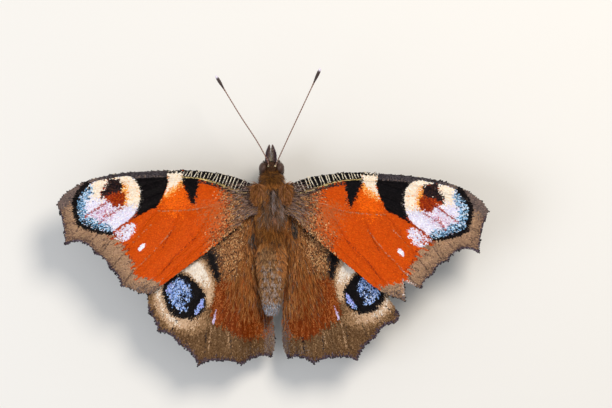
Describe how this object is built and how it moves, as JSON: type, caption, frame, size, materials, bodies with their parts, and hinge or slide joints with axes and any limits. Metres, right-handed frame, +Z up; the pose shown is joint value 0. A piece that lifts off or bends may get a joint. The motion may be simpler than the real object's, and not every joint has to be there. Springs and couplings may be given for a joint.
{
  "type": "peacock butterfly",
  "caption": "Life-size still model of a peacock butterfly standing on the floor with its wings spread flat, clubbed feelers held forward and tongue coiled under the face.",
  "frame": {"origin": "middle of the base of the bounding box, on the floor under the body", "axes": "+X to the animal's left, +Y towards its tail, +Z up"},
  "size_m": [0.058, 0.0402, 0.0102],
  "materials": {
    "wing_scales": "matt, dusted with fine scales",
    "body_hair": "soft hair",
    "abdomen_hair": "short hair and scales",
    "eye": "glossy",
    "feeler": "satin",
    "tongue": "satin",
    "leg": "matt"
  },
  "bodies": {
    "root": {"head": "body_hair", "eye_L": "eye", "eye_R": "eye", "antenna_L": "feeler", "antenna_R": "feeler", "palp_L": "body_hair", "palp_R": "body_hair", "proboscis": "tongue", "prothorax": "body_hair", "thorax": "body_hair", "tegula_L": "body_hair", "tegula_R": "body_hair", "abdomen": "abdomen_hair", "forewing_L": "wing_scales", "forewing_R": "wing_scales", "hindwing_L": "wing_scales", "hindwing_R": "wing_scales", "foreleg_L": "leg", "foreleg_R": "leg", "midleg_L": "leg", "midleg_R": "leg", "hindleg_L": "leg", "hindleg_R": "leg"}
  },
  "joints": []
}
